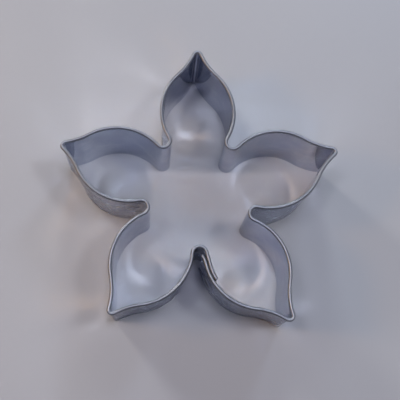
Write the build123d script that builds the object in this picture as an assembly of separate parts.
from build123d import *
from math import atan2, cos, degrees, radians, sin, sqrt
import os

# Open strip cutter: one steel strip stood on edge and bent into a five-petal flower.
# Lengths are in millimetres, angles in degrees. The cutting edge stands on z = 0.

# Strip
strip_depth = 25.0
sheet = 0.3
curl_diameter = 1.1
curl_turn = 270.0
outer_flat_count = 6
inner_flat_count = 4

# Flower outline, on the middle of the sheet
valley_reach = 16.28
valley_radius = 2.56
petal_swell = 2.67
bulge_radius = 16.61
ogee_radius = 21.97
point_rise = 3.91
tip_radius = 0.77

# Hand bending leaves no two petals alike. Petals run clockwise from the top one.
petal_angles = [90.0, 18.0, -54.0, -126.0, -198.0]
petal_turns = [0.24, -0.44, -0.46, 1.18, -0.95]
petal_reach_shares = [0.013, -0.005, 0.05, -0.005, -0.028]
left_width_shares = [-0.035, 0.033, -0.027, 0.007, -0.053]
right_width_shares = [-0.024, 0.042, 0.071, -0.001, 0.006]

# Each valley follows the petal of the same place in the list. The third holds the lap.
valley_turns = [1.47, -2.88, 1.28, -1.29, -1.94]
valley_reach_shares = [0.017, 0.009, 0.017, -0.055, 0.021]
seam_index = 2

# Lap, where the strip's two ends pass each other
lap_lean = 13.8
lap_length = 8.0
lap_setback = 0.6
lap_clearance = 0.05
flare_radius = 9.8
flare_share = 0.82

# Spot welds through both plies of the lap
weld_diameter = 2.4
weld_height = 6.0
weld_pitch = 11.0
weld_count = 2
mark_diameter = 1.8
mark_depth = 0.08

# How far cutting tools run past what they cut
overrun = 0.5

# Values that follow from the sizes
petals = len(petal_angles)
half_step = (petal_angles[0] - petal_angles[1]) / 2
half_sheet = sheet / 2
curl_radius = (curl_diameter - sheet) / 2
curl_axis_height = strip_depth - curl_diameter / 2
ply_spacing = curl_radius + curl_diameter / 2 + lap_clearance + half_sheet
up = Vector(0, 0, 1)


def along(angle):
    """The unit vector at an angle from +X, in plan."""
    return Vector(cos(radians(angle)), sin(radians(angle)), 0)


def towards(start, end, distance):
    """The point at a distance from start on the way to end."""
    return start + (end - start).normalized() * distance


def left_of(direction):
    return Vector(-direction.Y, direction.X, 0)


def meet(centre_a, radius_a, centre_b, radius_b, side):
    """Where two circles cross, on the left of the line of centres for side 1, else on the right."""
    gap = (centre_b - centre_a).length
    run = (radius_a**2 - radius_b**2 + gap**2) / (2 * gap)
    rise = sqrt(radius_a**2 - run**2)
    forward = (centre_b - centre_a).normalized()
    return centre_a + forward * run + left_of(forward) * rise * side


def tangent_curve(centre, start, end):
    """The arc about a centre from start to end, the short way round."""
    radius = (start - centre).length
    turn = (start - centre).get_signed_angle(end - centre, up)
    first = degrees(atan2(start.Y - centre.Y, start.X - centre.X))
    return CenterArc((centre.X, centre.Y), radius, first, turn)


# Valleys: each is a round bay whose centre lies outside the flower.
neck = (valley_reach + valley_radius) * sin(radians(half_step)) - valley_radius
half_width = neck + petal_swell


def valley_centre(place):
    reach = valley_reach * (1 + valley_reach_shares[place]) + valley_radius
    return along(petal_angles[place] - half_step + valley_turns[place]) * reach


# The point of an even petal stands point_rise beyond the round of its bulge.
even_step = valley_reach + valley_radius
even_run = even_step * cos(radians(half_step)) + sqrt(
    (valley_radius + bulge_radius) ** 2
    - (half_width - bulge_radius - even_step * sin(radians(half_step))) ** 2
)
even_reach = even_run + sqrt(bulge_radius**2 - (half_width - bulge_radius) ** 2) + point_rise


def petal_half(place, side):
    """The centres that shape one half of a petal: side 1 is its left half, seen from the middle."""
    axis = along(petal_angles[place] + petal_turns[place])
    across = left_of(axis) * side
    shares = left_width_shares if side > 0 else right_width_shares
    bulge_across = half_width * (1 + shares[place]) - bulge_radius
    tip = axis * (even_reach * (1 + petal_reach_shares[place]) - tip_radius)
    if place == seam_index and side < 0:
        bulge = lap_bulge_centre(axis, across, bulge_across)
    else:
        valley = valley_centre(place - 1 if side > 0 else place)
        drop = bulge_across - valley.dot(across)
        run = sqrt((valley_radius + bulge_radius) ** 2 - drop**2)
        bulge = axis * (valley.dot(axis) + run) + across * bulge_across
    ogee = meet(bulge, bulge_radius + ogee_radius, tip, tip_radius + ogee_radius, side)
    return {
        "bulge": bulge,
        "ogee": ogee,
        "tip": tip,
        "bulge_end": towards(bulge, ogee, bulge_radius),
        "ogee_end": towards(tip, ogee, tip_radius),
        "point": tip + axis * tip_radius,
    }


# Lap: the inner ply leaves the valley in a straight line, and the outer ply lies beside it.
lap_direction = along(petal_angles[seam_index] - half_step + valley_turns[seam_index] + lap_lean)
lap_outside = left_of(lap_direction) * -1
seam_centre = valley_centre(seam_index)
inner_start = seam_centre - lap_outside * valley_radius
outer_origin = inner_start + lap_outside * ply_spacing


def lap_bulge_centre(axis, across, bulge_across):
    """The centre of the bulge that runs into the outer ply and keeps the petal's width."""
    on_line = outer_origin - lap_outside * bulge_radius
    short = bulge_across - on_line.dot(across)
    return on_line + lap_direction * (short / lap_direction.dot(across))


halves = {(place, side): petal_half(place, side) for place in range(petals) for side in (1, -1)}
lap_bulge = halves[(seam_index, -1)]["bulge"]
lap_run = (lap_bulge - outer_origin).dot(lap_direction)
inner_bend = inner_start + lap_direction * lap_run
outer_bend = outer_origin + lap_direction * lap_run
inner_arc_length = lap_setback + lap_length - lap_run
inner_arc_angle = degrees(inner_arc_length / (bulge_radius - ply_spacing))
inner_end = lap_bulge + (inner_bend - lap_bulge).rotate(Axis.Z, inner_arc_angle)
flare_length = (lap_run - lap_setback) * flare_share
flare_start = outer_origin + lap_direction * (lap_setback + flare_length)
flare_centre = flare_start + lap_outside * flare_radius
flare_angle = degrees(flare_length / flare_radius)
outer_end = flare_centre + (flare_start - flare_centre).rotate(Axis.Z, flare_angle)


def outline():
    """The middle of the sheet in plan, clockwise from the end of the inner ply."""
    curves = [
        tangent_curve(lap_bulge, inner_end, inner_bend),
        Line(inner_bend, inner_start),
    ]
    for step in range(1, petals + 1):
        place = (seam_index + step) % petals
        valley = valley_centre(place - 1)
        rising, falling = halves[(place, 1)], halves[(place, -1)]
        bulge_start = towards(valley, rising["bulge"], valley_radius)
        curves += [
            tangent_curve(valley, curves[-1] @ 1, bulge_start),
            tangent_curve(rising["bulge"], bulge_start, rising["bulge_end"]),
            tangent_curve(rising["ogee"], rising["bulge_end"], rising["ogee_end"]),
            tangent_curve(rising["tip"], rising["ogee_end"], rising["point"]),
            tangent_curve(falling["tip"], falling["point"], falling["ogee_end"]),
            tangent_curve(falling["ogee"], falling["ogee_end"], falling["bulge_end"]),
        ]
        if place == seam_index:
            bulge_finish = outer_bend
        else:
            bulge_finish = towards(valley_centre(place), falling["bulge"], valley_radius)
        curves.append(tangent_curve(falling["bulge"], falling["bulge_end"], bulge_finish))
    curves += [
        Line(outer_bend, flare_start),
        tangent_curve(flare_centre, flare_start, outer_end),
    ]
    return Wire([curve.edge() for curve in curves])


def curl_points(radius, flats):
    """One side of the curled sheet, from the wall over the top and down again outside it."""
    centre = Vector(curl_radius, curl_axis_height, 0)
    return [centre + along(180 - curl_turn * flat / flats) * radius for flat in range(flats + 1)]


def strip_section():
    """Wall and curl: x is outwards from the middle of the sheet, y is up."""
    outer = curl_points(curl_radius + half_sheet, outer_flat_count)
    inner = curl_points(curl_radius - half_sheet, inner_flat_count)
    corners = [Vector(-half_sheet, 0, 0), *outer, *reversed(inner), Vector(half_sheet, 0, 0)]
    return make_face(Polyline(*corners, close=True).edges())


def weld_places():
    """Planes on the lap's curved stretch, one for each weld, with z out through both plies."""
    outwards = (outer_bend - lap_bulge).rotate(Axis.Z, inner_arc_angle / 2).normalized()
    middle = lap_bulge + outwards * (bulge_radius - ply_spacing / 2)
    heights = [weld_height + weld_pitch * number for number in range(weld_count)]
    return [Plane(origin=middle + up * height, z_dir=outwards) for height in heights]


def weld_nuggets():
    """Slugs of weld metal as thick as the lap, with the shallow mark that each electrode leaves."""
    lap_thickness = ply_spacing + sheet
    ring = Cylinder(bulge_radius + half_sheet, strip_depth) - Cylinder(
        bulge_radius - ply_spacing - half_sheet, strip_depth
    )
    ring = Pos(lap_bulge.X, lap_bulge.Y, strip_depth / 2) * ring
    electrode = Cylinder(mark_diameter / 2, 2 * overrun)
    mark_offset = lap_thickness / 2 - mark_depth + overrun
    nuggets = []
    for place in weld_places():
        slug = place * Cylinder(weld_diameter / 2, lap_thickness + 2 * overrun)
        slug = slug & ring
        slug -= place * Pos(0, 0, mark_offset) * electrode
        slug -= place * Pos(0, 0, -mark_offset) * electrode
        nuggets.append(slug.solid())
    return nuggets


path = outline()
travel = path % 0
section_plane = Plane(origin=path @ 0, x_dir=left_of(travel), z_dir=travel)
cutter_band = sweep(section_plane * strip_section(), path=path)
for place in weld_places():
    cutter_band -= place * Cylinder(weld_diameter / 2, ply_spacing + sheet + 2 * overrun)
cutter_band = cutter_band.solid()
spot_welds = Compound(weld_nuggets())

# The origin is under the middle of the cutter's footprint.
footprint = cutter_band.bounding_box()
to_origin = Pos(-footprint.center().X, -footprint.center().Y, 0)

print("flower centre", to_origin.position)
print("across", footprint.size)
print("even tip reach", even_reach, "half width", half_width)
print("lap run", lap_run, "inner arc", inner_arc_length, "flare", flare_length)
print("strip length", path.length, "volume", cutter_band.volume)
print("section times length", strip_section().area * path.length)

os.makedirs("parts", exist_ok=True)
export_step(to_origin * cutter_band, "parts/cutter_band.step")
export_step(to_origin * spot_welds, "parts/spot_welds.step")
